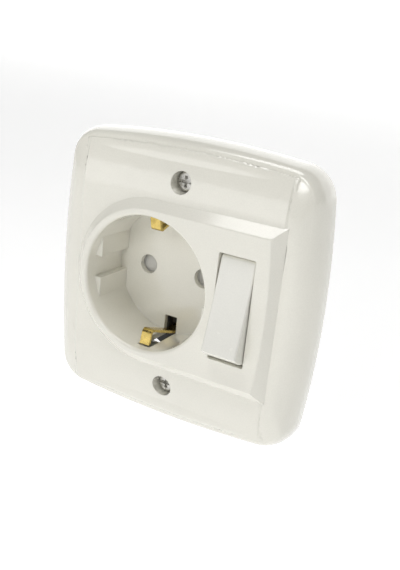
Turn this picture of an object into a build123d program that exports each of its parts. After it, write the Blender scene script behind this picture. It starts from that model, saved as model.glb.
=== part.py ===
from build123d import *
import math
import os

# Flush-mounted earthed socket outlet with a rocker switch under one cover.
# Frame: +X right as seen from the front, +Z up, +Y into the wall.
# The wall surface is y = 0 and the origin is the middle of the cover's back rim.
# "h" is a height in front of the wall, so y = -h. Millimetres throughout.

# ---------------------------------------------------------------- dimensions
# cover outline and skin
half_side = 41.75          # middle of each side
side_bow = 2.7             # how far each side bows out past its corners
corner_r = 9.6
edge_h = 1.5               # straight edge at the wall
ridge_z, ridge_h = 38.9, 8.15
ridge_bow = 1.9
field_h = 10.85            # screw field at the foot of the panel
field_x = 31.3             # top of the field's slanted side
field_foot_x = 32.7

# raised panel
panel_h = 13.4
panel_z = 21.5
panel_x = 29.25
panel_bow = 1.32
panel_round = 21.6
bevel = 3.0
foot_x = 32.6
foot_h = 10.5

# plug well
well_x = -7.4
well_r = 19.6
well_floor_y = 4.4
well_wall = 1.7
well_floor_t = 1.8
lip_r = 1.0
guide_x = 17.3             # flat of the side guides, from the well's axis
guide_front_y = -9.2
guide_groove = 3.2         # half width of the groove between the guides
pin_pitch = 19.0
pin_hole_r = 2.9
slot_half = 2.1            # half width of the earth slots
slot_in, slot_front_y = 14.4, -9.9

# rocker
rock_x = 20.71
open_half_x = 5.38
open_half_z = 15.09
rock_half_x = 5.13
rock_r = 14.75             # end arcs, about the pivot
pivot_h = 8.8
rest_tilt = 13.2
face_h = 6.75              # chord of the face above the pivot
face_dish = 0.45
trunnion_r = 1.3
bore_gap = 0.05
stem_len = 7.5
stem_r = 2.9
plunger_r = 1.45
ball_reach = 11.0
spring_len = 5.0

# switch contacts
seesaw_tilt = 8.0
strap_t = 0.8
seesaw_y = 2.45
seesaw_pivot_y = 3.45
seesaw_half_z = 9.0
rivet_z = 7.6

# carrying parts
frame_t = 1.2
frame_half = 35.0
base_r = 27.5
base_front_y, base_rear_y = 6.6, 25.0
rear_t = 1.6
screw_z = 30.0             # the two posts of a round wall box are 60 apart
screw_mouth_r = 3.1
screw_seat_h = 5.6
screw_shank_r = 1.5
screw_end_y = 17.0
base_screw_x, base_screw_z = 6.0, 24.0
dish_r, dish_t = 33.0, 0.25
deck_y = 11.0              # rear of the base's front deck
shell_t = 2.2
post_notch_r = 3.2
flat_z = 27.2
sleeve_y0, sleeve_y1 = 11.2, 21.6
shutter_turn = 42.0

os.makedirs("parts", exist_ok=True)


def front(h):
    """Sketch plane parallel to the wall, h in front of it: x is X, y is Z."""
    return Plane.XZ.offset(h)


def brick(x0, x1, y0, y1, z0, z1, mode=Mode.ADD):
    """Block between two corners, in the part being built."""
    with Locations(((x0 + x1) / 2, (y0 + y1) / 2, (z0 + z1) / 2)):
        Box(abs(x1 - x0), abs(y1 - y0), abs(z1 - z0), mode=mode)


def rod(x, z, y0, y1, r, mode=Mode.ADD):
    """Cylinder along Y between two levels, in the part being built."""
    with Locations(Location((x, (y0 + y1) / 2, z), (90, 0, 0))):
        Cylinder(r, abs(y1 - y0), mode=mode)


def contour(h, ax, az, bow_x, bow_z, rc):
    """Closed outline with bowed sides and rounded corners, h in front of the wall."""
    cx, cz = ax - bow_x, az - bow_z
    with BuildSketch(front(h)) as sk:
        with BuildLine():
            ThreePointArc((-cx, cz), (0, az), (cx, cz))
            ThreePointArc((cx, cz), (ax, 0), (cx, -cz))
            ThreePointArc((cx, -cz), (0, -az), (-cx, -cz))
            ThreePointArc((-cx, -cz), (-ax, 0), (-cx, cz))
        make_face()
        fillet(sk.vertices(), rc)
    return sk.sketch


def finish(part, name):
    """Name a finished piece and write it out."""
    part.label = name
    export_step(part, "parts/" + name + ".step")


# ---------------------------------------------------------------- front cover
# level, half width, half height, bow of the upright sides, bow of the level sides, corner radius
outer_levels = [
    (edge_h, half_side, half_side, side_bow, side_bow, corner_r),
    (4.5, 41.2, 41.35, 2.6, 2.5, 9.2),
    (7.1, 39.75, 40.4, 2.4, 2.2, 8.1),
    (9.0, 37.6, 36.6, 2.0, 1.7, 7.2),
    (10.6, 33.2, 26.0, 0.8, 0.8, 6.5),
]
inner_levels = [
    (-0.5, 39.5, 39.5, 2.6, 2.6, 7.6),
    (4.0, 38.7, 38.8, 2.5, 2.3, 7.0),
    (6.0, 36.6, 36.7, 2.2, 1.9, 6.0),
    (7.4, 31.6, 24.0, 0.8, 0.7, 5.0),
]


def field_section(x, h_mid, h_shoulder, h_end):
    """Upright section of the screw field at one x."""
    with BuildSketch(Plane.YZ.offset(x)) as sk:
        with BuildLine():
            Polyline((-h_end, -ridge_z), (-4.0, -ridge_z), (-4.0, ridge_z), (-h_end, ridge_z))
            Spline((-h_end, ridge_z), (-h_shoulder, 32.0), (-h_mid, 24.3),
                   tangents=((-0.26, -1), (-0.06, -1)))
            Line((-h_mid, 24.3), (-h_mid, -24.3))
            Spline((-h_mid, -24.3), (-h_shoulder, -32.0), (-h_end, -ridge_z),
                   tangents=((0.06, -1), (0.26, -1)))
        make_face()
    return sk.sketch


with BuildPart() as field:
    loft(sections=[
        field_section(-field_foot_x, 10.35, 8.75, 7.55),
        field_section(-field_x, field_h, 9.85, ridge_h),
        field_section(field_x, field_h, 9.85, ridge_h),
        field_section(field_foot_x, 10.35, 8.75, 7.55),
    ], ruled=True)
    with BuildSketch(front(2)) as arch:
        with BuildLine():
            Polyline((-35, -ridge_z + ridge_bow * 1.15), (-35, ridge_z - ridge_bow * 1.15))
            ThreePointArc((-35, ridge_z - ridge_bow * 1.15), (0, ridge_z), (35, ridge_z - ridge_bow * 1.15))
            Line((35, ridge_z - ridge_bow * 1.15), (35, -ridge_z + ridge_bow * 1.15))
            ThreePointArc((35, -ridge_z + ridge_bow * 1.15), (0, -ridge_z), (-35, -ridge_z + ridge_bow * 1.15))
        make_face()
    extrude(amount=12, mode=Mode.INTERSECT)


def panel_outline(h, round_r, zt, x_corner, x_mid):
    """D-shaped outline of the panel: round about the well, bowed on the right."""
    with BuildSketch(front(h)) as sk:
        with BuildLine():
            ThreePointArc((well_x, -round_r), (well_x - round_r, 0), (well_x, round_r))
            Line((well_x, round_r), (x_corner, zt))
            if x_mid > x_corner + 0.01:
                ThreePointArc((x_corner, zt), (x_mid, 0), (x_corner, -zt))
            else:
                Line((x_corner, zt), (x_corner, -zt))
            Line((x_corner, -zt), (well_x, -round_r))
        make_face()
    return sk.sketch


with BuildPart() as panel:
    foot = bevel * (panel_h - foot_h) / (panel_h - 10.65)
    loft(sections=[
        panel_outline(foot_h, panel_round + foot - 0.1, panel_z + foot, foot_x, foot_x + 0.12),
        panel_outline(panel_h, panel_round, panel_z, panel_x, panel_x + panel_bow),
    ], ruled=True)
    with BuildSketch(front(6)):
        with Locations((12.0, 0)):
            Rectangle(38, 46)
        with Locations((well_x, 0)):
            Circle(22)
    extrude(amount=foot_h - 6)
    fillet(panel.faces().sort_by(Axis.Y)[0].outer_wire().edges(), 0.45)

with BuildPart() as cavity:
    loft(sections=[contour(*lv) for lv in inner_levels], ruled=True)
    brick(-7, 27.8, -11.1, -6, -19.8, 19.8)

with BuildPart() as front_cover:
    extrude(contour(0, half_side, half_side, side_bow, side_bow, corner_r), amount=edge_h)
    loft(sections=[contour(*lv) for lv in outer_levels])
    add(field.part)
    add(panel.part)
    add(cavity.part, mode=Mode.SUBTRACT)
    # cup of the plug well and the two screw pillars
    rod(well_x, 0, -12.0, well_floor_y + well_floor_t, well_r + well_wall)
    for z in (-screw_z, screw_z):
        rod(0, z, -8.6, -frame_t - 0.1, 4.9)
    rod(well_x, 0, -15, well_floor_y, well_r, mode=Mode.SUBTRACT)
    # rounded lip of the well
    with BuildSketch(Plane(origin=(well_x, 0, 0), x_dir=(1, 0, 0), z_dir=(0, 0, 1))):
        with BuildLine():
            Polyline((well_r, -panel_h + lip_r), (well_r - 0.3, -panel_h + lip_r), (well_r - 0.3, -panel_h - 0.5),
                     (well_r + lip_r, -panel_h - 0.5), (well_r + lip_r, -panel_h))
            RadiusArc((well_r + lip_r, -panel_h), (well_r, -panel_h + lip_r), lip_r)
        make_face()
    revolve(axis=Axis((well_x, 0, 0), (0, 1, 0)), mode=Mode.SUBTRACT)
    # window of the rocker
    with BuildSketch(front(8)) as window:
        with Locations((rock_x, 0)):
            RectangleRounded(2 * open_half_x, 2 * open_half_z, 0.5)
    extrude(amount=8, mode=Mode.SUBTRACT)
    # side guides of the well, each a chord block with a groove along the middle
    with BuildSketch(front(-well_floor_y - 0.2)) as guides:
        with Locations((well_x, 0)):
            Circle(well_r + 0.5)
            Rectangle(2 * guide_x, 60, mode=Mode.SUBTRACT)
            Rectangle(60, 2 * guide_groove, mode=Mode.SUBTRACT)
    extrude(amount=well_floor_y + 0.2 - guide_front_y)
    # earth slots through the wall and the floor, pin holes, screw wells
    for s in (-1, 1):
        brick(well_x - slot_half, well_x + slot_half, slot_front_y, well_floor_y + 4,
              s * slot_in, s * (well_r + well_wall + 1.5), mode=Mode.SUBTRACT)
        rod(well_x + s * pin_pitch / 2, 0, 0, 10, pin_hole_r, mode=Mode.SUBTRACT)
        rod(0, s * screw_z, -14, -screw_seat_h, screw_mouth_r, mode=Mode.SUBTRACT)
        rod(0, s * screw_z, -14, 0, screw_shank_r + 0.3, mode=Mode.SUBTRACT)
finish(front_cover.part, "front_cover")

# ---------------------------------------------------------------- mounting frame
with BuildPart() as mounting_frame:
    with BuildSketch(front(0)) as plate:
        RectangleRounded(2 * frame_half, 2 * frame_half, 7)
        with Locations((well_x, 0)):
            Circle(well_r + well_wall + 0.5, mode=Mode.SUBTRACT)
        with Locations((16.5, 0)):
            RectangleRounded(24.0, 30.0, 2.0, mode=Mode.SUBTRACT)
        with Locations((0, screw_z), (0, -screw_z)):
            Circle(screw_shank_r + 0.25, mode=Mode.SUBTRACT)
        with Locations((base_screw_x, base_screw_z), (base_screw_x, -base_screw_z)):
            Circle(1.35, mode=Mode.SUBTRACT)
    extrude(amount=frame_t)
    # shallow dish around the mouth of the wall box, so only the flange rests on the wall
    rod(0, 0, -dish_t, 1, dish_r, mode=Mode.SUBTRACT)
    # stiffening lips turned forwards along both sides
    for s in (-1, 1):
        brick(s * (frame_half - 1.0), s * frame_half, -3.4, -0.6, -24, 24)
finish(mounting_frame.part, "mounting_frame")

# ---------------------------------------------------------------- base
ear_in_l, ear_in_r = rock_x - rock_half_x - 0.2, rock_x + rock_half_x + 0.2
sleeve_r, sleeve_bore = 3.2, 2.43
live_x, neutral_x = well_x + pin_pitch / 2, well_x - pin_pitch / 2
term = {"line": (12.0, -17.4), "neutral": (-13.5, -16.6), "earth": (12.0, 17.4)}

with BuildPart() as base:
    rod(0, 0, base_front_y, deck_y, base_r)
    # pillars that carry the steel frame
    for s in (-1, 1):
        rod(base_screw_x, s * base_screw_z, -dish_t, base_front_y + 1, 3.0)
    # tower around the switch, with an ear each side for the rocker's trunnions
    brick(ear_in_l - 1.15, ear_in_r + 1.15, -2.6, base_front_y + 1, -13, 13)
    brick(ear_in_l - 1.15, ear_in_l, -10.7, -2, -4, 4)
    brick(ear_in_r, ear_in_r + 1.15, -10.7, -2, -4, 4)
    rod(well_x, 0, -14, base_front_y, well_r + well_wall + 0.2, mode=Mode.SUBTRACT)
    with Locations(Location((rock_x, -pivot_h, 0), (0, 90, 0))):
        Cylinder(trunnion_r + bore_gap, 20, mode=Mode.SUBTRACT)
    brick(ear_in_l + 0.3, ear_in_r - 0.3, -4, 7.4, -10.5, 10.5, mode=Mode.SUBTRACT)
    # seat of the shutter, its pivot and the pocket of its spring
    rod(well_x, 0, base_front_y - 1, 8.2, 14.0, mode=Mode.SUBTRACT)
    rod(well_x, 0, 8.0, 10.0, 4.2, mode=Mode.SUBTRACT)
    rod(well_x, 0, 6.5, 10.5, 2.0)
    brick(well_x - 0.3, well_x + 0.3, 9.1, 10.0, 4.0, 5.6, mode=Mode.SUBTRACT)
    # pin holes
    for x in (live_x, neutral_x):
        rod(x, 0, 8.0, 12, pin_hole_r, mode=Mode.SUBTRACT)
    # slots for the live and line contacts and for the clips
    brick(18.45, 22.95, 7.0, 12.0, 2.75, 3.85, mode=Mode.SUBTRACT)
    brick(18.35, 23.05, 7.0, base_rear_y, -0.55, 0.55, mode=Mode.SUBTRACT)
    brick(18.25, 19.3, 9.8, base_rear_y, -14.0, 0.55, mode=Mode.SUBTRACT)
    for s in (-1, 1):
        brick(well_x - 1.85, well_x + 1.85, 5, base_rear_y, s * 18.2, s * 20.1, mode=Mode.SUBTRACT)
        brick(well_x - 1.85, well_x + 1.85, 5, 9.0, s * 15.5, s * 20.4, mode=Mode.SUBTRACT)
    # screw holes, and notches that clear the posts of the wall box
    for s in (-1, 1):
        rod(base_screw_x, s * base_screw_z, -1, 7.0, 1.25, mode=Mode.SUBTRACT)
        rod(0, s * screw_z, 5, 12, post_notch_r, mode=Mode.SUBTRACT)
        brick(-30, 30, 5, 12, s * flat_z, s * 31, mode=Mode.SUBTRACT)
finish(base.part, "base")

with BuildPart() as base_shell:
    rod(0, 0, deck_y, base_rear_y, base_r)
    rod(0, 0, deck_y - 1, base_rear_y + 1, base_r - shell_t, mode=Mode.SUBTRACT)
    for x, z in ((-22.5, 8.5), (22.0, -8.5)):
        rod(x, z, deck_y, base_rear_y, 2.6)
        rod(x, z, 17.5, base_rear_y + 1, 1.05, mode=Mode.SUBTRACT)
    # wire windows, clearance of the terminal tongues and notches for the posts
    for x, z in term.values():
        brick(x - 4.3, x + 4.3, 11.0, base_rear_y, z - 4.3, z + 4.3, mode=Mode.SUBTRACT)
        brick(x - 2.6, x + 2.6, 16.7, 21.9, z, math.copysign(29, z), mode=Mode.SUBTRACT)
    for s in (-1, 1):
        rod(0, s * screw_z, 10, 26, post_notch_r, mode=Mode.SUBTRACT)
        brick(-30, 30, 10, 26, s * flat_z, s * 31, mode=Mode.SUBTRACT)
finish(base_shell.part, "base_shell")

with BuildPart() as pin_block:
    brick(neutral_x - 5.0, live_x + 5.0, deck_y, base_rear_y, -5.2, 5.2)
    # chambers of the two pin contacts, and the slots of their arms
    for x in (live_x, neutral_x):
        brick(x - 3.6, x + 3.6, 10, base_rear_y + 1, -4.0, 4.0, mode=Mode.SUBTRACT)
    brick(live_x, 22.95, 11.8, base_rear_y + 1, 2.75, 3.85, mode=Mode.SUBTRACT)
    brick(-17.45, -16.35, 11.8, base_rear_y + 1, -13.0, -2.75, mode=Mode.SUBTRACT)
    brick(well_x - 3.1, well_x + 3.1, 23.9, base_rear_y + 1, -19.8, 19.8, mode=Mode.SUBTRACT)
finish(pin_block.part, "pin_block")

with BuildPart() as terminal_blocks:
    brick(5.9, 20.9, deck_y, base_rear_y, -23.0, -11.4)
    brick(-19.6, -7.6, deck_y, base_rear_y, -18.1, -10.5)
    brick(5.4, 18.3, deck_y, base_rear_y, 11.3, 23.5)
    rod(0, 0, deck_y, base_rear_y, base_r - shell_t - 0.1, mode=Mode.INTERSECT)
    for x, z in term.values():
        brick(x - 4.3, x + 4.3, 10.0, base_rear_y + 1, z - 4.3, z + 4.3, mode=Mode.SUBTRACT)
        brick(x - 2.6, x + 2.6, 16.7, 21.9, z, math.copysign(29, z), mode=Mode.SUBTRACT)
    brick(14, 19.3, 15.7, base_rear_y + 1, -15.45, -13.1, mode=Mode.SUBTRACT)
    brick(18.25, 19.3, 9.8, base_rear_y + 1, -14.0, 0.55, mode=Mode.SUBTRACT)
    brick(-17.45, -16.35, 11.8, base_rear_y + 1, -13.0, -2.75, mode=Mode.SUBTRACT)
    # channel of the earth strap and of its lower clip
    brick(well_x - 3.1, well_x + 3.1, 23.9, base_rear_y + 1, -19.8, 19.8, mode=Mode.SUBTRACT)
    brick(well_x, 8.2, 23.9, base_rear_y + 1, 13.8, 21.1, mode=Mode.SUBTRACT)
    brick(7.1, 8.2, 15.7, base_rear_y + 1, 13.8, 21.1, mode=Mode.SUBTRACT)
    brick(well_x - 1.85, well_x + 1.85, 5, base_rear_y + 1, -20.1, -18.2, mode=Mode.SUBTRACT)
finish(terminal_blocks.part, "terminal_blocks")

with BuildPart() as rear_cover:
    rod(0, 0, base_rear_y, base_rear_y + rear_t, base_r)
    for x, z in term.values():
        rod(x, z, base_rear_y - 1, base_rear_y + rear_t + 1, 3.0, mode=Mode.SUBTRACT)
    for x, z in ((-22.5, 8.5), (22.0, -8.5)):
        rod(x, z, base_rear_y - 1, base_rear_y + rear_t + 1, 1.3, mode=Mode.SUBTRACT)
    for s in (-1, 1):
        rod(0, s * screw_z, 20, 30, post_notch_r, mode=Mode.SUBTRACT)
        brick(-30, 30, 20, 30, s * flat_z, s * 31, mode=Mode.SUBTRACT)
    fillet(rear_cover.faces().sort_by(Axis.Y)[-1].outer_wire().edges(), 0.5)
finish(rear_cover.part, "rear_cover")

# ---------------------------------------------------------------- pin contacts
def sleeve(x):
    """Slotted spring sleeve for one plug pin, in the part being built."""
    rod(x, 0, sleeve_y0, sleeve_y1, sleeve_r)


def sleeve_cut(x, side):
    rod(x, 0, 9.0, 22.0, sleeve_bore, mode=Mode.SUBTRACT)
    brick(x, x + side * 4, 9.0, 22.0, -0.55, 0.55, mode=Mode.SUBTRACT)


with BuildPart() as live_contact:
    sleeve(live_x)
    brick(live_x, 22.8, 12.0, 16.0, sleeve_r - 0.3, sleeve_r + 0.5)
    brick(18.6, 22.8, 5.9, 16.0, sleeve_r - 0.3, sleeve_r + 0.5)
    brick(18.6, 22.8, 5.9, 5.9 + strap_t, sleeve_r - 0.3, 9.8)
    sleeve_cut(live_x, -1)
finish(live_contact.part, "live_contact")

with BuildPart() as neutral_contact:
    sleeve(neutral_x)
    brick(-17.3, -16.5, 12.0, 20.0, -12.6, -sleeve_r + 0.2)
    brick(-17.6, -9.6, 15.8, 16.6, -20.7, -12.4)
    sleeve_cut(neutral_x, 1)
    rod(*term["neutral"], 15, 17, 1.5, mode=Mode.SUBTRACT)
finish(neutral_contact.part, "neutral_contact")

with BuildPart() as line_contact:
    # saddle with a groove for the contact rocker, leg, arm and terminal tongue
    brick(18.6, 22.8, seesaw_pivot_y + 0.25, 7.3, -1.6, 1.6)
    brick(18.6, 22.8, 7.0, 16.6, -0.4, 0.4)
    brick(18.4, 19.2, 10.0, 16.6, -13.8, 0.4)
    brick(8.0, 16.1, 15.8, 16.6, -21.5, -13.3)
    brick(16.0, 19.2, 15.8, 16.6, -15.3, -13.3)
    with Locations(Location((rock_x, seesaw_pivot_y, 0), (0, 90, 0))):
        Cylinder(0.86, 12, mode=Mode.SUBTRACT)
    rod(*term["line"], 15, 17, 1.5, mode=Mode.SUBTRACT)
finish(line_contact.part, "line_contact")

# ---------------------------------------------------------------- earth strap with two clips
with BuildPart() as earth_strap:
    brick(well_x - 3.0, well_x + 3.0, 24.0, 24.8, -18.9, 18.9)
    brick(well_x, 8.1, 24.0, 24.8, 14.0, 20.9)
    brick(7.3, 8.1, 15.8, 24.8, 14.0, 20.9)
    brick(7.8, 16.1, 15.8, 16.6, 13.3, 21.5)
    rod(*term["earth"], 15, 17, 1.5, mode=Mode.SUBTRACT)
    for s in (-1, 1):
        # arm forwards from the web, bent in over a crest and curled back at the front
        with BuildLine(Plane.YZ.offset(well_x)) as spine:
            FilletPolyline((24.4, s * 16.0), (24.4, s * 19.3), (4.6, s * 19.3), (-8.2, s * 15.0),
                           (-9.3, s * 19.3), radius=(0.8, 3.5, 0.9))
        with BuildSketch(Plane(origin=spine.line @ 0, x_dir=(1, 0, 0), z_dir=spine.line % 0)):
            Rectangle(3.2, strap_t)
        sweep(path=spine.line)
finish(earth_strap.part, "earth_strap")

# ---------------------------------------------------------------- shutter
with BuildPart() as shutter:
    rod(well_x, 0, 6.75, 7.95, 13.4)
    rod(well_x, 0, 6, 9, 2.06, mode=Mode.SUBTRACT)
    for a in (shutter_turn, 180 + shutter_turn):
        x = well_x + 9.5 * math.cos(math.radians(a))
        z = 9.5 * math.sin(math.radians(a))
        rod(x, z, 6, 9, 3.3, mode=Mode.SUBTRACT)
    # hole for the spring's leg
    rod(well_x, 3.3, 7.2, 9, 0.35, mode=Mode.SUBTRACT)
    # shallow ramp under each pin hole, which turns the disc as a pair of pins pushes
    for s in (-1, 1):
        with Locations(Location((well_x + s * 9.5, 6.55, 0), (s * 8, 0, 0))):
            Box(5.0, 0.9, 5.0, mode=Mode.SUBTRACT)
finish(shutter.part, "shutter")

with BuildPart() as shutter_spring:
    with BuildLine() as coil:
        Helix(pitch=0.46, height=1.15, radius=3.3, center=(well_x, 8.35, 0), direction=(0, 1, 0))
    with BuildSketch(Plane(origin=coil.line @ 0, z_dir=coil.line % 0)):
        Circle(0.17)
    sweep(path=coil.line, is_frenet=True)
finish(shutter_spring.part, "shutter_spring")

# ---------------------------------------------------------------- rocker
# The side view is drawn with the rocker level, then turned to its rest tilt about the pivot.
def level_to_rest(points):
    """Turn (y, z) points about the pivot from level to the rest tilt."""
    a = math.radians(-rest_tilt)
    out = []
    for y, z in points:
        dy = y + pivot_h
        out.append((dy * math.cos(a) - z * math.sin(a) - pivot_h, dy * math.sin(a) + z * math.cos(a)))
    return out


face_z = math.sqrt(rock_r ** 2 - face_h ** 2)
arc_mid = math.radians(14.0)
low_z = math.sqrt(rock_r ** 2 - 1.2 ** 2)
with BuildPart() as rocker:
    with BuildSketch(Plane.YZ.offset(rock_x - rock_half_x)) as side:
        pts = level_to_rest([
            (-pivot_h - face_h, face_z), (-pivot_h - face_h + face_dish, 0), (-pivot_h - face_h, -face_z),
            (-pivot_h - rock_r * math.sin(arc_mid), -rock_r * math.cos(arc_mid)), (-pivot_h + 1.2, -low_z),
            (-pivot_h + 1.2, low_z), (-pivot_h - rock_r * math.sin(arc_mid), rock_r * math.cos(arc_mid))])
        with BuildLine():
            ThreePointArc(pts[0], pts[1], pts[2])
            ThreePointArc(pts[2], pts[3], pts[4])
            Line(pts[4], pts[5])
            ThreePointArc(pts[5], pts[6], pts[0])
        make_face()
    extrude(amount=2 * rock_half_x)
    fillet(rocker.edges().filter_by(Axis.X).sort_by(Axis.Y)[0], 0.7)
    tops = rocker.edges().filter_by(Axis.X).filter_by(lambda e: e.center().Z > 5 and e.center().Y < -pivot_h - 2)
    fillet(tops.sort_by(Axis.Y)[0], 1.0)
    fillet(rocker.edges().filter_by(lambda e: abs(abs(e.center().X - rock_x) - rock_half_x) < 0.01
                                    and e.length > 20 and e.center().Y < -pivot_h - 4), 0.4)
    # hollow underside
    with BuildSketch(Plane.YZ.offset(rock_x - rock_half_x + 1.2)) as hollow:
        inner = level_to_rest([
            (-pivot_h - face_h + 2.3, face_z - 0.6), (-pivot_h - face_h + 2.3, -face_z + 0.6),
            (-pivot_h + 2.0, -low_z + 1.5), (-pivot_h + 2.0, low_z - 1.5)])
        with BuildLine():
            Polyline(*inner, close=True)
        make_face()
    extrude(amount=2 * rock_half_x - 2.4, mode=Mode.SUBTRACT)
    with Locations(Location((rock_x, -pivot_h, 0), (0, 90, 0))):
        Cylinder(trunnion_r, 2 * rock_half_x + 2.3)
    # stem with the plunger's bore
    a = math.radians(-rest_tilt)
    stem_dir = Vector(0, math.cos(a), math.sin(a))
    stem_top = Vector(rock_x, -pivot_h, 0) - stem_dir * (face_h - 1.2)
    with BuildSketch(Plane(origin=stem_top, x_dir=(1, 0, 0), z_dir=stem_dir)):
        Circle(stem_r)
    extrude(amount=face_h - 1.2 + stem_len)
    with BuildSketch(Plane(origin=Vector(rock_x, -pivot_h, 0) - stem_dir * 1.0, x_dir=(1, 0, 0), z_dir=stem_dir)):
        Circle(plunger_r + 0.06)
    extrude(amount=20, mode=Mode.SUBTRACT)
finish(rocker.part, "rocker")

with BuildPart() as plunger:
    back = ball_reach - 6.0
    with BuildSketch(Plane(origin=Vector(rock_x, -pivot_h, 0) + stem_dir * back, x_dir=(1, 0, 0), z_dir=stem_dir)):
        Circle(plunger_r)
    extrude(amount=6.0)
    fillet(plunger.edges().group_by(Axis.Y)[-1], plunger_r - 0.05)
finish(plunger.part, "plunger")

with BuildPart() as plunger_spring:
    with BuildLine() as coil:
        Helix(pitch=1.0, height=spring_len - 0.5, radius=1.1,
              center=Vector(rock_x, -pivot_h, 0) - stem_dir * 0.55, direction=stem_dir)
    with BuildSketch(Plane(origin=coil.line @ 0, z_dir=coil.line % 0)):
        Circle(0.18)
    sweep(path=coil.line, is_frenet=True)
finish(plunger_spring.part, "plunger_spring")

# ---------------------------------------------------------------- contact rocker
def tilt(y, z):
    """Turn a (y, z) point of the level contact rocker to its rest tilt."""
    b = math.radians(seesaw_tilt)
    dy = y - seesaw_pivot_y
    return (dy * math.cos(b) - z * math.sin(b) + seesaw_pivot_y, dy * math.sin(b) + z * math.cos(b))


with BuildPart() as contact_rocker:
    with BuildSketch(Plane.YZ.offset(rock_x - 2.3)):
        with BuildLine():
            Polyline(tilt(seesaw_y, -seesaw_half_z), tilt(seesaw_y, seesaw_half_z),
                     tilt(seesaw_y + strap_t, seesaw_half_z), tilt(seesaw_y + strap_t, -seesaw_half_z), close=True)
        make_face()
    extrude(amount=4.6)
    with Locations(Location((rock_x, seesaw_pivot_y, 0), (0, 90, 0))):
        Cylinder(0.8, 4.4)
    fillet(contact_rocker.edges().filter_by(Axis.X).filter_by(lambda e: abs(e.center().Z) > 5), 0.25)
finish(contact_rocker.part, "contact_rocker")

with BuildPart() as moving_tip:
    b = math.radians(seesaw_tilt)
    tip_dir = Vector(0, math.cos(b), math.sin(b))
    ty, tz = tilt(seesaw_y + strap_t, rivet_z)
    with BuildSketch(Plane(origin=(rock_x, ty, tz), x_dir=(1, 0, 0), z_dir=tip_dir)):
        Circle(1.5)
    extrude(amount=0.6)
    fillet(moving_tip.edges().group_by(Axis.Y)[-1], 0.2)
finish(moving_tip.part, "moving_tip")

with BuildPart() as fixed_tip:
    rod(rock_x, rivet_z, 5.3, 5.9, 1.5)
    fillet(fixed_tip.edges().group_by(Axis.Y)[0], 0.2)
finish(fixed_tip.part, "fixed_tip")

# ---------------------------------------------------------------- fasteners
with BuildPart() as fixing_screws:
    for s in (-1, 1):
        head_y = -screw_seat_h - 1.9
        rod(0, s * screw_z, head_y, -screw_seat_h, 2.75)
        rod(0, s * screw_z, -screw_seat_h, 0, screw_shank_r - 0.08)
        rod(0, s * screw_z, 0, screw_end_y, screw_shank_r)
    fillet(fixing_screws.edges().group_by(Axis.Y)[0], 0.6)
    chamfer(fixing_screws.edges().group_by(Axis.Y)[-1], 0.5)
    # combined slot and cross in each head
    for s in (-1, 1):
        brick(-3, 3, head_y - 1, head_y + 0.75, s * screw_z - 0.42, s * screw_z + 0.42, mode=Mode.SUBTRACT)
        brick(-0.45, 0.45, head_y - 1, head_y + 1.05, s * screw_z - 1.6, s * screw_z + 1.6, mode=Mode.SUBTRACT)
        brick(-1.6, 1.6, head_y - 1, head_y + 1.05, s * screw_z - 0.45, s * screw_z + 0.45, mode=Mode.SUBTRACT)
finish(fixing_screws.part, "fixing_screws")

with BuildPart() as base_screws:
    for s in (-1, 1):
        rod(base_screw_x, s * base_screw_z, -frame_t - 1.4, -frame_t, 2.3)
        rod(base_screw_x, s * base_screw_z, -frame_t, 6.4, 1.2)
    fillet(base_screws.edges().group_by(Axis.Y)[0], 0.4)
    for s in (-1, 1):
        brick(base_screw_x - 3, base_screw_x + 3, -4, -frame_t - 0.8, s * base_screw_z - 0.35,
              s * base_screw_z + 0.35, mode=Mode.SUBTRACT)
finish(base_screws.part, "base_screws")

with BuildPart() as rear_screws:
    for x, z in ((-22.5, 8.5), (22.0, -8.5)):
        rod(x, z, base_rear_y + rear_t, base_rear_y + rear_t + 1.2, 2.1)
        rod(x, z, 18.0, base_rear_y + rear_t, 1.0)
        brick(x - 3, x + 3, base_rear_y + rear_t + 0.7, 30, z - 0.3, z + 0.3, mode=Mode.SUBTRACT)
finish(rear_screws.part, "rear_screws")

with BuildPart() as terminal_screws:
    for x, z in term.values():
        rod(x, z, 23.6, 20.9, 2.7)
        rod(x, z, 20.9, 12.0, 1.45)
        brick(x - 3, x + 3, 22.7, 25, z - 0.4, z + 0.4, mode=Mode.SUBTRACT)
finish(terminal_screws.part, "terminal_screws")

with BuildPart() as clamp_plates:
    for x, z in term.values():
        brick(x - 3.4, x + 3.4, 19.7, 20.9, z - 3.4, z + 3.4)
        rod(x, z, 19, 22, 1.6, mode=Mode.SUBTRACT)
finish(clamp_plates.part, "clamp_plates")
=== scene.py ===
import bpy
import math
from mathutils import Matrix, Vector


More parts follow.
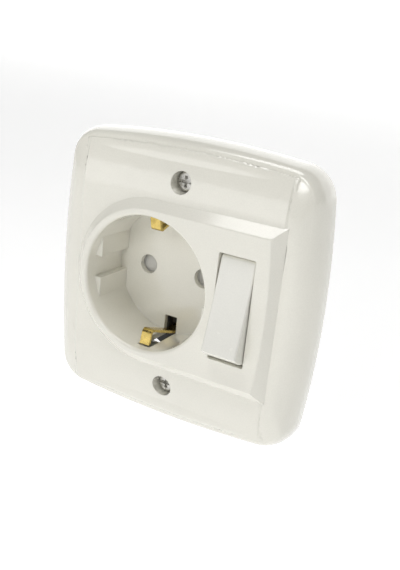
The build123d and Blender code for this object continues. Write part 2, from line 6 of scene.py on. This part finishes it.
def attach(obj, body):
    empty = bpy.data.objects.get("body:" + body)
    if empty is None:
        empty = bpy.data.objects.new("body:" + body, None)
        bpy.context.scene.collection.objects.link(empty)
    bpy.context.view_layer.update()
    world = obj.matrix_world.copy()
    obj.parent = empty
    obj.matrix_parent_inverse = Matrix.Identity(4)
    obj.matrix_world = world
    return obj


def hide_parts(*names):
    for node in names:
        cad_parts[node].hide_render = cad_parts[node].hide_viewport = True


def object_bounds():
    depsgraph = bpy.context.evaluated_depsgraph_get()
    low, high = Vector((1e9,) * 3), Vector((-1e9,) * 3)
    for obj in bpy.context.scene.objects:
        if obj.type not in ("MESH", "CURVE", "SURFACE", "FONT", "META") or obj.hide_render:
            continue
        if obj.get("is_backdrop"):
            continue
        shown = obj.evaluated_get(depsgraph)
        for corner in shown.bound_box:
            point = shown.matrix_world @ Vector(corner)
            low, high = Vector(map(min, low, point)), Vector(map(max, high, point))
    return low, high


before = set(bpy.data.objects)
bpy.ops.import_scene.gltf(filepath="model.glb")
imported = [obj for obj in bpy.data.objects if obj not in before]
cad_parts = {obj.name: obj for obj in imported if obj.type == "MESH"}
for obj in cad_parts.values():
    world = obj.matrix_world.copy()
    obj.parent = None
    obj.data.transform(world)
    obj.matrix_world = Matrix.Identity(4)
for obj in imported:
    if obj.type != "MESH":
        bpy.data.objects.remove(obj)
cad_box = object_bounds()
MM = 0.001


# ------------------------------------------------------------ node material helpers
def new_material(name):
    m = bpy.data.materials.new(name)
    m.use_nodes = True
    nt = m.node_tree
    nt.nodes.clear()
    out = nt.nodes.new("ShaderNodeOutputMaterial")
    bsdf = nt.nodes.new("ShaderNodeBsdfPrincipled")
    nt.links.new(bsdf.outputs["BSDF"], out.inputs["Surface"])
    return m, nt, bsdf


def node(nt, kind, **values):
    n = nt.nodes.new(kind)
    for k, v in values.items():
        key = k.replace("_", " ")
        if key in n.inputs:
            n.inputs[key].default_value = v
        else:
            setattr(n, k, v)
    return n


def noise(nt, coord, scale, detail=3.0, rough=0.5, stretch=None):
    n = node(nt, "ShaderNodeTexNoise", Scale=scale, Detail=detail, Roughness=rough)
    if stretch:
        mp = nt.nodes.new("ShaderNodeMapping")
        mp.inputs["Scale"].default_value = stretch
        nt.links.new(coord, mp.inputs["Vector"])
        coord = mp.outputs["Vector"]
    nt.links.new(coord, n.inputs["Vector"])
    return n.outputs["Fac"]


def ramp(nt, fac, stops):
    r = nt.nodes.new("ShaderNodeValToRGB")
    el = r.color_ramp.elements
    while len(el) < len(stops):
        el.new(0.5)
    for e, (p, c) in zip(el, stops):
        e.position = p
        e.color = (c[0], c[1], c[2], 1) if not isinstance(c, float) else (c, c, c, 1)
    nt.links.new(fac, r.inputs["Fac"])
    return r.outputs["Color"]


def scaled(c, k):
    return tuple(min(1.0, v * k) for v in c)


def moulded_plastic(name, base, rough=(0.2, 0.3), grain=1200.0, grain_depth=0.01, wave_depth=0.03,
                    edge=0.3, speck=0.0, coat=0.0):
    """Injection-moulded plastic: slow colour drift, fine speckle, faint waviness and eased edges."""
    m, nt, bsdf = new_material(name)
    co = nt.nodes.new("ShaderNodeTexCoord").outputs["Object"]
    drift = ramp(nt, noise(nt, co, 38.0, 3.0, 0.55), [(0.3, scaled(base, 0.975)), (0.7, scaled(base, 1.015))])
    fine = ramp(nt, noise(nt, co, grain * 1.7, 2.0, 0.6), [(0.35, 1.0 - 0.03 - speck), (0.62, 1.0)])
    mix = node(nt, "ShaderNodeMix", data_type="RGBA", blend_type="MULTIPLY")
    mix.inputs[0].default_value = 1.0
    nt.links.new(drift, mix.inputs[6])
    nt.links.new(fine, mix.inputs[7])
    nt.links.new(mix.outputs[2], bsdf.inputs["Base Color"])
    rr = ramp(nt, noise(nt, co, 160.0, 4.0, 0.6), [(0.3, float(rough[0])), (0.7, float(rough[1]))])
    nt.links.new(rr, bsdf.inputs["Roughness"])
    bump = node(nt, "ShaderNodeBump", Strength=grain_depth, Distance=0.0004)
    nt.links.new(noise(nt, co, grain, 2.0, 0.5), bump.inputs["Height"])
    wave = node(nt, "ShaderNodeBump", Strength=wave_depth, Distance=0.002)
    nt.links.new(noise(nt, co, 45.0, 1.0, 0.4), wave.inputs["Height"])
    if edge:
        bev = node(nt, "ShaderNodeBevel", samples=4, Radius=edge * MM)
        nt.links.new(bev.outputs["Normal"], wave.inputs["Normal"])
    nt.links.new(wave.outputs["Normal"], bump.inputs["Normal"])
    nt.links.new(bump.outputs["Normal"], bsdf.inputs["Normal"])
    bsdf.inputs["IOR"].default_value = 1.5
    bsdf.inputs["Coat Weight"].default_value = coat
    bsdf.inputs["Coat Roughness"].default_value = 0.07
    return m


def metal(name, base, stain, rough=(0.2, 0.36), scale=260.0, stretch=(1, 1, 1), depth=0.05, edge=0.12):
    """Plated or rolled metal: patchy tarnish, drawn scratches and eased edges."""
    m, nt, bsdf = new_material(name)
    co = nt.nodes.new("ShaderNodeTexCoord").outputs["Object"]
    patches = ramp(nt, noise(nt, co, scale, 5.0, 0.62), [(0.3, stain), (0.55, base), (0.8, scaled(base, 1.12))])
    nt.links.new(patches, bsdf.inputs["Base Color"])
    bsdf.inputs["Metallic"].default_value = 1.0
    rr = ramp(nt, noise(nt, co, scale * 3, 3.0, 0.6), [(0.3, float(rough[0])), (0.7, float(rough[1]))])
    nt.links.new(rr, bsdf.inputs["Roughness"])
    bump = node(nt, "ShaderNodeBump", Strength=depth, Distance=0.0003)
    nt.links.new(noise(nt, co, scale * 5, 3.0, 0.6, stretch), bump.inputs["Height"])
    if edge:
        bev = node(nt, "ShaderNodeBevel", samples=4, Radius=edge * MM)
        nt.links.new(bev.outputs["Normal"], bump.inputs["Normal"])
    nt.links.new(bump.outputs["Normal"], bsdf.inputs["Normal"])
    return m


def spangled(name):
    """Galvanised steel sheet with zinc crystals."""
    m, nt, bsdf = new_material(name)
    co = nt.nodes.new("ShaderNodeTexCoord").outputs["Object"]
    vor = node(nt, "ShaderNodeTexVoronoi", Scale=240.0)
    nt.links.new(co, vor.inputs["Vector"])
    sep = nt.nodes.new("ShaderNodeSeparateColor")
    nt.links.new(vor.outputs["Color"], sep.inputs["Color"])
    nt.links.new(ramp(nt, sep.outputs["Red"], [(0.0, (0.50, 0.51, 0.52)), (1.0, (0.68, 0.69, 0.70))]),
                 bsdf.inputs["Base Color"])
    nt.links.new(ramp(nt, sep.outputs["Green"], [(0.0, 0.28), (1.0, 0.46)]), bsdf.inputs["Roughness"])
    bsdf.inputs["Metallic"].default_value = 1.0
    bump = node(nt, "ShaderNodeBump", Strength=0.05, Distance=0.0003)
    nt.links.new(noise(nt, co, 900.0, 3.0, 0.6), bump.inputs["Height"])
    nt.links.new(bump.outputs["Normal"], bsdf.inputs["Normal"])
    return m


gloss_white = moulded_plastic("gloss_white_plastic", (0.88, 0.862, 0.775), rough=(0.15, 0.21), grain=1500.0,
                              grain_depth=0.006, wave_depth=0.02, edge=0.35, coat=0.8)
rocker_white = moulded_plastic("rocker_white_plastic", (0.86, 0.85, 0.785), rough=(0.2, 0.28), grain=1700.0,
                               grain_depth=0.008, wave_depth=0.02, edge=0.4, coat=0.5)
shutter_grey = moulded_plastic("shutter_grey_plastic", (0.70, 0.69, 0.65), rough=(0.3, 0.42), grain=1400.0,
                               grain_depth=0.02, edge=0.2)
base_cream = moulded_plastic("base_thermoset", (0.055, 0.052, 0.048), rough=(0.34, 0.5), grain=900.0,
                             grain_depth=0.03, wave_depth=0.03, edge=0.25, speck=0.14)
rear_grey = moulded_plastic("rear_cover_thermoset", (0.09, 0.087, 0.08), rough=(0.38, 0.52), grain=800.0,
                            grain_depth=0.04, wave_depth=0.03, edge=0.25, speck=0.18)
plunger_black = moulded_plastic("plunger_plastic", (0.07, 0.07, 0.075), rough=(0.35, 0.5), grain=1500.0, edge=0.15)
brass = metal("spring_brass", (0.66, 0.50, 0.16), (0.40, 0.28, 0.07), rough=(0.18, 0.32), scale=240.0,
              stretch=(6, 1, 1), depth=0.05)
contact_brass = metal("contact_brass", (0.78, 0.60, 0.27), (0.60, 0.43, 0.17), rough=(0.24, 0.38), scale=300.0)
silver = metal("contact_silver", (0.82, 0.81, 0.78), (0.60, 0.59, 0.56), rough=(0.2, 0.34), scale=500.0)
zinc = metal("zinc_plated_screw", (0.62, 0.61, 0.575), (0.40, 0.395, 0.375), rough=(0.22, 0.38), scale=420.0,
             stretch=(1, 1, 5), depth=0.08)
spring_steel = metal("spring_steel", (0.50, 0.50, 0.51), (0.30, 0.30, 0.31), rough=(0.2, 0.34), scale=600.0)
galvanised = spangled("galvanised_sheet")

looks = {
    "front_cover": gloss_white, "rocker": rocker_white, "mounting_frame": galvanised, "base": base_cream, "base_shell": base_cream, "pin_block": base_cream,
    "terminal_blocks": base_cream,
    "rear_cover": rear_grey, "live_contact": contact_brass, "neutral_contact": contact_brass,
    "line_contact": contact_brass, "earth_strap": brass, "shutter": shutter_grey, "shutter_spring": spring_steel,
    "plunger": plunger_black, "plunger_spring": spring_steel, "contact_rocker": contact_brass,
    "moving_tip": silver, "fixed_tip": silver, "fixing_screws": zinc, "base_screws": zinc, "rear_screws": zinc,
    "terminal_screws": zinc, "clamp_plates": galvanised,
}
for name, mat in looks.items():
    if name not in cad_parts:
        continue
    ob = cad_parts[name]
    ob.data.materials.clear()
    ob.data.materials.append(mat)


# ------------------------------------------------------------ outer form of the cover
# The same outline family as the CAD cover, on a fine grid, so that the gloss runs without facets.
def half_x(h):
    u = min(1.0, max(0.0, (h - 1.5) / 9.1))
    return 41.75 - 8.55 * (1 - math.sqrt(max(0.0, 1 - u * u)))


def half_z(h):
    if h <= 8.15:
        u = max(0.0, (h - 1.5) / 6.65)
        return 41.75 - 2.85 * (1 - math.sqrt(max(0.0, 1 - u * u)))
    table = [(8.15, 38.9), (8.75, 36.7), (9.2, 35.0), (9.85, 32.1), (10.3, 29.2), (10.6, 26.0)]
    for (h0, z0), (h1, z1) in zip(table, table[1:]):
        if h <= h1:
            return z0 + (z1 - z0) * (h - h0) / (h1 - h0)
    return table[-1][1]


def outline(ax, az, bx, bz, rc, n_arc=28, n_fil=20):
    """Points of the bowed outline with rounded corners, counter-clockwise seen from the front."""
    cx, cz = ax - bx, az - bz
    rt = (cx * cx + bz * bz) / (2 * bz)
    rr = (cz * cz + bx * bx) / (2 * bx)
    c1, c2 = (0.0, az - rt), (ax - rr, 0.0)
    px, pz = cx - rc, cz - rc
    for _ in range(30):
        d1 = math.hypot(px - c1[0], pz - c1[1])
        d2 = math.hypot(px - c2[0], pz - c2[1])
        f1, f2 = d1 - (rt - rc), d2 - (rr - rc)
        j11, j12 = (px - c1[0]) / d1, (pz - c1[1]) / d1
        j21, j22 = (px - c2[0]) / d2, (pz - c2[1]) / d2
        det = j11 * j22 - j12 * j21
        px -= (f1 * j22 - f2 * j12) / det
        pz -= (j11 * f2 - j21 * f1) / det
    t1 = math.atan2(pz - c1[1], px - c1[0])
    t2 = math.atan2(pz - c2[1], px - c2[0])
    quad = []
    for i in range(n_arc):
        a = math.pi / 2 + (t1 - math.pi / 2) * i / n_arc
        quad.append((c1[0] + rt * math.cos(a), c1[1] + rt * math.sin(a)))
    for i in range(n_fil):
        a = t1 + (t2 - t1) * i / n_fil
        quad.append((px + rc * math.cos(a), pz + rc * math.sin(a)))
    for i in range(n_arc + 1):
        a = t2 + (0 - t2) * i / n_arc
        quad.append((c2[0] + rr * math.cos(a), c2[1] + rr * math.sin(a)))
    right = quad + [(x, -z) for x, z in reversed(quad[:-1])]
    left = [(-x, z) for x, z in reversed(right[1:-1])]
    return right + left


def level(h):
    u = min(1.0, max(0.0, (h - 1.5) / 9.1))
    bx = 2.7 - 0.8 * u * u - (1.1 * ((h - 9.2) / 1.4) ** 1.5 if h > 9.2 else 0.0)
    bz = 2.7 - 0.8 * min(1.0, max(0.0, (h - 1.5) / 6.65)) ** 2 - (1.2 * (h - 8.15) / 2.45 if h > 8.15 else 0.0)
    rc = 9.6 - 2.6 * u * u - (1.6 * (h - 8.15) / 2.45 if h > 8.15 else 0.0)
    return outline(half_x(h), half_z(h), bx, bz, rc)


def ring_mesh(name, rings):
    """Closed strips between successive rings of (x, y, z) in millimetres."""
    verts, faces = [], []
    n = len(rings[0])
    for ring in rings:
        verts += [Vector(p) * MM for p in ring]
    for i in range(len(rings) - 1):
        for j in range(n):
            k = (j + 1) % n
            faces.append((i * n + j, (i + 1) * n + j, (i + 1) * n + k, i * n + k))
    def under_field(i):
        x, z, h = verts[i].x / MM, verts[i].z / MM, -verts[i].y / MM
        return h > 8.0 and abs(x) < 31.9 and abs(z) < 38.9 - 1.9 * (x / 32.7) ** 2 - 0.02
    faces = [f for f in faces if not all(under_field(i) for i in f)]
    me = bpy.data.meshes.new(name)
    me.from_pydata([tuple(v) for v in verts], [], faces)
    me.update()
    for p in me.polygons:
        p.use_smooth = True
    ob = bpy.data.objects.new(name, me)
    bpy.context.scene.collection.objects.link(ob)
    return ob


levels = [0.0, 0.4, 1.0, 1.5]
steps = 54
for i in range(1, steps + 1):
    s = i / steps
    levels.append(1.5 + 9.1 * math.sin(s * math.pi / 2))
levels = sorted(set(levels + [8.0, 8.1, 8.15, 8.22, 8.3]))
rings = []
first = level(0.0)
rings.append([(x, -0.01, z) for x, z in first])
for h in levels[1:]:
    rings.append([(x, -h, z) for x, z in level(min(h, 10.5995))])
last = level(10.5995)
rings.append([(x * 0.96, -10.6, z * 0.96) for x, z in last])
rings.append([(x * 0.90, -10.6, z * 0.90) for x, z in last])
shell = ring_mesh("cover_outer_form", rings)
shell.data.materials.append(gloss_white)
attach(shell, "housing")

# the rest of the cover: a copy of its CAD mesh, with the outer faces drawn in under the smooth form
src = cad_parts["front_cover"]
inner = src.copy()
inner.data = src.data.copy()
inner.name = "cover_face_and_well"
bpy.context.scene.collection.objects.link(inner)
inner.parent = None
inner.matrix_world = Matrix.Identity(4)
normals = [v.normal.copy() for v in inner.data.vertices]
places = [v.co.copy() for v in inner.data.vertices]
moved = []
for v, n, c in zip(range(len(places)), normals, places):
    x, y, z = c.x / MM, c.y / MM, c.z / MM
    h = -y
    if h < 0.3 or h > 10.7:
        continue
    ridge = 38.9 - 1.9 * (x / 32.7) ** 2
    if abs(x) < 32.8 and abs(z) < ridge + 0.12:
        continue
    lim_x, lim_z = half_x(max(1.5, min(h, 10.59))), half_z(max(1.5, min(h, 10.59)))
    # vertices of the outer surface lie close to the outline; those of the cavity are well inside it
    outer = False
    cx, cz = lim_x - 2.2, lim_z - 2.2
    if abs(x) > lim_x - 4.2 or abs(z) > lim_z - 4.2:
        radial = n.x * x + n.z * z
        if radial > 0 and n.y < 0.35 or n.y < -0.3:
            outer = True
    if outer:
        moved.append((v, c - n * 0.6 * MM))
for i, c in moved:
    inner.data.vertices[i].co = c
inner.data.update()
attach(inner, "housing")
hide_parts("front_cover")


# ------------------------------------------------------------ stage, light, camera
floor_me = bpy.data.meshes.new("floor")
floor_me.from_pydata([(-9, -9, -0.16), (9, -9, -0.16), (9, 9, -0.16), (-9, 9, -0.16)], [], [(0, 1, 2, 3)])
floor = bpy.data.objects.new("floor", floor_me)
bpy.context.scene.collection.objects.link(floor)
fm, fnt, fb = new_material("pale_floor")
fco = fnt.nodes.new("ShaderNodeTexCoord").outputs["Object"]
fnt.links.new(ramp(fnt, noise(fnt, fco, 3.0, 3.0, 0.5), [(0.3, (0.93, 0.93, 0.925)), (0.7, (0.95, 0.95, 0.945))]),
              fb.inputs["Base Color"])
fb.inputs["Roughness"].default_value = 0.9
fb.inputs["Emission Color"].default_value = (1, 1, 1, 1)
fb.inputs["Emission Strength"].default_value = 0.42
floor_me.materials.append(fm)
floor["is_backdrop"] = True
wall_me = bpy.data.meshes.new("backdrop")
wall_me.from_pydata([(-9, 4, -0.16), (9, 4, -0.16), (9, 4, 6), (-9, 4, 6)], [], [(0, 1, 2, 3)])
backdrop = bpy.data.objects.new("backdrop", wall_me)
bpy.context.scene.collection.objects.link(backdrop)
bm_, bnt, bb = new_material("pale_backdrop")
bco = bnt.nodes.new("ShaderNodeTexCoord").outputs["Object"]
bnt.links.new(ramp(bnt, noise(bnt, bco, 2.0, 3.0, 0.5), [(0.3, (0.93, 0.93, 0.925)), (0.7, (0.95, 0.95, 0.945))]),
              bb.inputs["Base Color"])
bb.inputs["Roughness"].default_value = 0.9
bb.inputs["Emission Color"].default_value = (1, 1, 1, 1)
bb.inputs["Emission Strength"].default_value = 0.95
wall_me.materials.append(bm_)
backdrop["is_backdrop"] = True

world = bpy.data.worlds.new("studio")
bpy.context.scene.world = world
world.use_nodes = True
bg = world.node_tree.nodes["Background"]
bg.inputs["Color"].default_value = (1.0, 1.0, 1.0, 1)
bg.inputs["Strength"].default_value = 0.15


def area(name, at, to, size, power, size_y=None):
    light = bpy.data.lights.new(name, "AREA")
    light.energy = power
    light.size = size
    if size_y:
        light.shape = "RECTANGLE"
        light.size_y = size_y
    ob = bpy.data.objects.new(name, light)
    bpy.context.scene.collection.objects.link(ob)
    ob.location = at
    d = Vector(to) - Vector(at)
    ob.rotation_mode = "QUATERNION"
    ob.rotation_quaternion = d.to_track_quat("-Z", "Y")
    return ob


area("key_above", (-0.10, -0.22, 0.80), (0, 0, 0), 0.45, 2.75)
area("front_left", (-0.50, -0.95, 0.06), (0, 0, 0), 0.55, 0.5, 0.22)
area("front_fill", (0.08, -0.75, 0.40), (0, 0, 0), 0.26, 1.35)

cam_data = bpy.data.cameras.new("camera")
cam = bpy.data.objects.new("camera", cam_data)
bpy.context.scene.collection.objects.link(cam)
cam.matrix_world = Matrix((
    (0.862014, -0.246084, 0.443141, 0.102496),
    (0.496417, 0.233110, -0.836199, -0.186529),
    (0.102474, 0.940799, 0.323104, 0.071680),
    (0, 0, 0, 1)))
cam_data.sensor_fit = "AUTO"
cam_data.sensor_width = 36.0
cam_data.lens = 49.033
cam_data.clip_start = 0.005
cam_data.dof.use_dof = False
bpy.context.scene.camera = cam
bpy.context.scene.view_settings.view_transform = "Standard"

bpy.context.view_layer.update()
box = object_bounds()


def plain(b):
    if isinstance(b, dict):
        return {k: plain(v) for k, v in b.items()}
    try:
        return [plain(v) for v in b]
    except TypeError:
        return float(b) if not isinstance(b, str) else b


{"cad": plain(cad_box), "visual": plain(box)}
